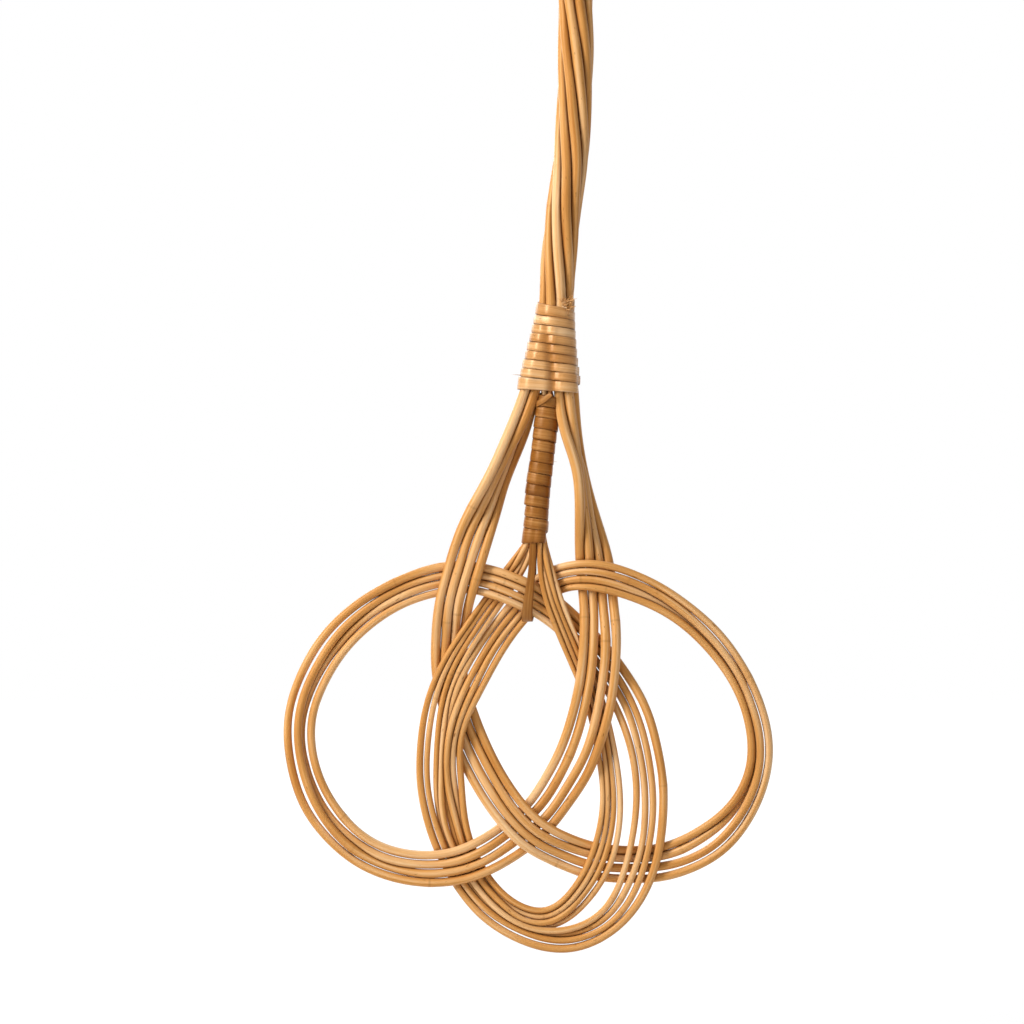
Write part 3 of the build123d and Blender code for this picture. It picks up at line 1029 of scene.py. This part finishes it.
@dataclass
class Fibres:
    """Thin torn fibres: a tuft at the top of the handle's binding, and single slivers.

    Columns, rows and depths are spots of the photograph, lengths and radii are in millimetres.
    """

    seed: int = 71
    count: int = 30
    columns: Pair = (560.0, 573.0)
    rows: Pair = (301.0, 311.0)
    depth: float = -10.9
    depth_per_column: float = 0.12
    sideways: Pair = (-1.0, 1.0)
    upward: Pair = (-0.5, 1.2)
    lengths: Pair = (2.5, 5.0)
    radii: Pair = (0.25, 0.55)
    slivers: tuple[tuple[Triple, Triple], ...] = (
        ((522.5, 375.5, -3.0), (-1.0, -0.1, 0.08)),
        ((536.5, 338.5, -6.5), (-0.7, -0.4, 0.6)),
        ((547.2, 462.5, -4.6), (1.0, -0.2, 0.10)),
    )
    sliver_length: float = 5.2
    sliver_radius: float = 0.3
    foremost: float = 11.2 * MM
    sections: int = 9
    sides: int = 6
    flatness: float = 0.45
    aside: Triple = (0.3, 0.9, 0.2)
    curl: float = 0.45
    tip: float = 0.02
    # The fibres' own darker tone, taken evenly from the dark-brown crevice mix
    shade_and_stain_share: float = 0.22
    tones: Pair = (-0.4, 0.8)
    pattern_shift: float = 0.01

    def build(self) -> Piece:
        """Makes all the fibres.

        Returns:
            One piece that holds them all.
        """
        rng = np.random.default_rng(self.seed)
        fibres = []
        for _ in range(self.count):
            column = rng.uniform(*self.columns)
            depth = self.depth + (column - self.columns[0]) * self.depth_per_column
            start = at_photo(column, rng.uniform(*self.rows), depth)
            lean = Vector((rng.uniform(*self.sideways), 0.0, rng.uniform(*self.upward)))
            length, radius = rng.uniform(*self.lengths), rng.uniform(*self.radii)
            fibres.append(self._fibre(rng, start, lean, length * MM, radius * MM, len(fibres)))
        for spot, lean in self.slivers:
            fibres.append(self._fibre(rng, at_photo(*spot), Vector(lean), self.sliver_length * MM,
                                      self.sliver_radius * MM, len(fibres)))
        bpy.ops.object.select_all(action="DESELECT")
        for fibre in fibres:
            fibre.select_set(True)
        bpy.context.view_layer.objects.active = fibres[0]
        bpy.ops.object.join()
        fibres[0].name = "frayed_fibres"
        return fibres[0]

    def _fibre(self, rng: np.random.Generator, start: Vector, lean: Vector, length: float,
               radius: float, number: int) -> Piece:
        """Makes one tapering, curling fibre.

        Args:
            rng: The source of chance.
            start: Where it leaves the strip.
            lean: The way it points.
            length: How long it is.
            radius: Half its thickness at the start.
            number: Its number among the fibres.

        Returns:
            The fibre as a piece of its own.
        """
        share = np.linspace(0, 1, self.sections)
        curl = np.array([rng.uniform(-1, 1) for _ in range(3)]) * length * self.curl
        centres = (np.array(start) + np.outer(share, np.array(lean.normalized()) * length)
                   + np.outer(share ** 2, curl))
        centres[:, 1] = np.maximum(centres[:, 1], -self.foremost)
        ways = unit(np.gradient(centres, axis=0))
        across = unit(np.cross(ways, self.aside))
        outward = ways_out(across, np.cross(ways, across), self.sides, self.flatness)
        rings = centres[:, None] + outward * (radius * (1 + self.tip - share))[:, None, None]
        piece = make_piece(f"fibre_{number}", rings, rings + number * self.pattern_shift)
        mark(piece, rings.shape[:2], crevice=self.shade_and_stain_share, knuckle=1.0, tone=rng.uniform(*self.tones))
        return piece


@dataclass(frozen=True)
class SawnEnd:
    """The flat cut at a cane's thick end, with its rim broken."""

    finish: Material
    rim: float = 0.28 * MM
    rise: float = 0.16 * MM
    lowest: float = -0.2 * MM
    least_upward: float = 0.95

    def trim(self, piece: Piece) -> None:
        """Shapes the cut and gives it its own finish.

        Args:
            piece: The cane, whose end faces are its only ones with many corners.
        """
        piece.data.materials.append(self.finish)
        work_on(piece, "DESELECT")
        bpy.ops.object.mode_set(mode="OBJECT")
        for face in piece.data.polygons:
            upward = face.normal.z > self.least_upward and face.center.z > self.lowest
            face.select = upward and len(face.vertices) > 4
        bpy.ops.object.mode_set(mode="EDIT")
        bpy.ops.mesh.inset(thickness=self.rim, depth=0.0)
        bpy.ops.transform.translate(value=(0.0, 0.0, self.rise))
        bpy.context.object.active_material_index = 1
        bpy.ops.object.material_slot_assign()
        bpy.ops.object.mode_set(mode="OBJECT")


@dataclass(frozen=True)
class Lamp:
    """A soft rectangular lamp."""

    name: str
    place: Triple
    sides: Pair
    power: float

    def hang(self, aim: Vector) -> None:
        """Hangs the lamp.

        Args:
            aim: The place that it faces.
        """
        light = bpy.data.lights.new(self.name, "AREA")
        light.shape = "RECTANGLE"
        light.size, light.size_y = self.sides
        light.energy = self.power
        lamp = bpy.data.objects.new(self.name, light)
        bpy.context.scene.collection.objects.link(lamp)
        lamp.location = self.place
        lamp.rotation_euler = (aim - Vector(self.place)).to_track_quat("-Z", "Y").to_euler()


@dataclass
class Studio:
    """The floor, the lamps, the world and the camera."""

    floor_height: float = -0.80
    floor_side: float = 9.0
    lamps: tuple[Lamp, ...] = (
        Lamp("key", place=(-1.52, -1.15, 0.85), sides=(0.55, 1.9), power=60.0),
        Lamp("fill", place=(1.6, -1.5, -0.3), sides=(1.8, 1.8), power=1.0),
        Lamp("back", place=(-0.9, 1.9, 0.7), sides=(1.6, 1.6), power=21.0),
    )
    sky: float = 0.28
    distance: float = 2.0
    sensor: float = 36.0

    def build(self) -> None:
        """Sets the whole studio up."""
        middle = at_photo(PHOTO_SIDE_PX / 2, PHOTO_SIDE_PX / 2, 0.0)
        self._floor()
        for lamp in self.lamps:
            lamp.hang(middle)
        self._world()
        self._camera(middle)
        bpy.context.scene.view_settings.view_transform = "Standard"

    def _floor(self) -> None:
        """Lays the pale floor under the hanging beater."""
        bpy.ops.object.select_all(action="DESELECT")
        bpy.ops.mesh.primitive_plane_add(size=self.floor_side, location=(0, 0, self.floor_height))
        floor = bpy.context.active_object
        floor.name = "floor"
        floor.data.materials.append(FloorFinish().material())

    def _world(self) -> None:
        """Makes the world pale light, and white where it is seen."""
        world = bpy.data.worlds.new("studio")
        bpy.context.scene.world = world
        r = Recipe(world)
        colour = (1.0, 1.0, 1.0, 1.0)
        sky = r.node("ShaderNodeBackground", {}, {"Color": colour, "Strength": self.sky})
        white = r.node("ShaderNodeBackground", {}, {"Color": colour})
        surface = r.node("ShaderNodeMixShader", {}, {0: r.seen(), 1: sky, 2: white})
        r.output(surface, "ShaderNodeOutputWorld")

    def _camera(self, middle: Vector) -> None:
        """Sets the camera square to the beater's front.

        Args:
            middle: The place in the middle of the picture.
        """
        lens = bpy.data.cameras.new("camera")
        lens.sensor_width = self.sensor
        lens.lens = self.sensor * self.distance / (PHOTO_SIDE_PX * MM_PER_PIXEL * MM)
        camera = bpy.data.objects.new("camera", lens)
        bpy.context.scene.collection.objects.link(camera)
        camera.location = middle - Vector((0.0, self.distance, 0.0))
        camera.rotation_euler = (math.pi / 2, 0.0, 0.0)
        bpy.context.scene.camera = camera


def plan_canes() -> list[Cane]:
    """Plans the eight canes.

    Returns:
        The four right ones, of which the first is stouter in its late bends, and the left ones.
    """
    canes = [Cane(f"{side}_cane_{i}", 10 * bundle + i)
             for bundle, side in enumerate(("right", "left"), 1) for i in range(1, 5)]
    canes[0].stout = 0.24
    return canes


def handle_binding() -> Winding:
    """Plans the strip round the foot of the handle, round above and oval over the two bundles."""
    return Winding(
        node="upper_binding", seed=31, first=at_photo(column=556.0, row=307.0, depth=0.0),
        last=at_photo(column=549.8, row=387.0, depth=0.0), first_half=(10.1 * MM, 10.1 * MM),
        last_half=(15.7 * MM, 5.8 * MM), turns=9, level_end=True, raised_start=0.55,
        reach=1.0 * MM, slack=-0.20 * MM, lobe=2.1 * MM, shade=0.9, slant=0.07)


def stem_binding() -> Winding:
    """Plans the strip round the eight tips in the stem.

    Returns:
        The winding, on the line through the foot and the head of the stem.
    """
    half = (5.24 * MM, 5.24 * MM)
    foot_row, first_row, last_row = 508.0, 404.0, 537.8
    foot = at_photo(column=536.8, row=foot_row, depth=0.0)
    axis = (at_photo(column=547.8, row=408.0, depth=0.0) - foot).normalized()
    first = foot + axis * ((foot_row - first_row) * MM_PER_PIXEL * MM)
    last = first - axis * ((last_row - first_row) * MM_PER_PIXEL * MM)
    return Winding(
        node="stem_binding", seed=37, first=first, last=last, first_half=half, last_half=half,
        turns=12, lead=0.75, thickness=1.1 * MM, slack=0.55 * MM, level_end=True)


def end_binding() -> Winding:
    """Plans the short strip round the sawn end of the handle."""
    half = (10.1 * MM, 10.1 * MM)
    return Winding(
        node="handle_end_binding", seed=41, first=Vector((0.0, 0.0, -4.0 * MM)),
        last=Vector((0.0, 0.0, -26.8 * MM)), first_half=half, last_half=half, turns=4,
        gap=0.5 * MM)


def knot_tie() -> LaidStrip:
    """Plans the strip down the front, round the foot of the crossing and up its back."""
    return LaidStrip(
        node="knot_tie", seed=23, thickness=1.0 * MM, across=(1.0, 0.0, 0.0),
        half_widths=(1.9 * MM, 2.1 * MM, 3.0 * MM, 3.1 * MM, 2.8 * MM, 2.2 * MM, 2.0 * MM),
        route=((533.0, 538.0, -5.5), (531.3, 575.0, -5.6), (527.5, 609.0, -5.2),
               (527.5, 621.0, 1.1), (530.0, 609.0, 6.9), (532.5, 575.0, 6.6),
               (534.0, 542.0, 5.6)))


def curled_end() -> LaidStrip:
    """Plans the loose end of strip that curls up at the top of the stem."""
    return LaidStrip(
        node="curled_end", seed=29, thickness=0.7 * MM, across=(0.0, 0.0, 1.0),
        half_widths=(1.6 * MM, 1.7 * MM, 1.6 * MM, 1.4 * MM, 1.1 * MM, 0.8 * MM),
        route=((536.0, 404.5, -2.6), (538.6, 403.2, -5.4), (543.5, 400.6, -7.3),
               (548.4, 396.8, -8.4), (551.6, 393.8, -9.6), (550.2, 392.4, -10.7)))


def main() -> None:
    """Builds and dresses the beater, then lights it."""
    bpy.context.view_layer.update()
    golden, peel, dark = (bark.material() for bark in (CANE_BARK, PEELED_STRIP, DARK_STRIP))
    sawn_end = SawnEnd(SawnFinish().material())
    canes = plan_canes()
    for cane in canes:
        cane.trace()
    crowd = Crowd(canes)
    for index, cane in enumerate(canes):
        piece = cane.build(crowd, index)
        piece.data.materials.append(golden)
        sawn_end.trim(piece)
        hand_over(piece, "cane", cane.node)
    for winding, finish, slot in ((handle_binding(), peel, "peel_strip"),
                                  (stem_binding(), dark, "dark_strip"),
                                  (end_binding(), peel, "peel_strip")):
        piece = winding.build(crowd)
        piece.data.materials.append(finish)
        hand_over(piece, slot, winding.node)
    for strip, slot, nodes in ((knot_tie(), "peel_strip", ["knot_tie"]),
                               (curled_end(), "dark_strip", [])):
        piece = strip.build()
        piece.data.materials.append(dark)
        hand_over(piece, slot, *nodes)
    fibres = Fibres().build()
    fibres.data.materials.append(peel)
    hand_over(fibres, "peel_strip")
    Studio().build()


if __name__ == "__main__":
    logging.basicConfig(level=logging.INFO)
    main()
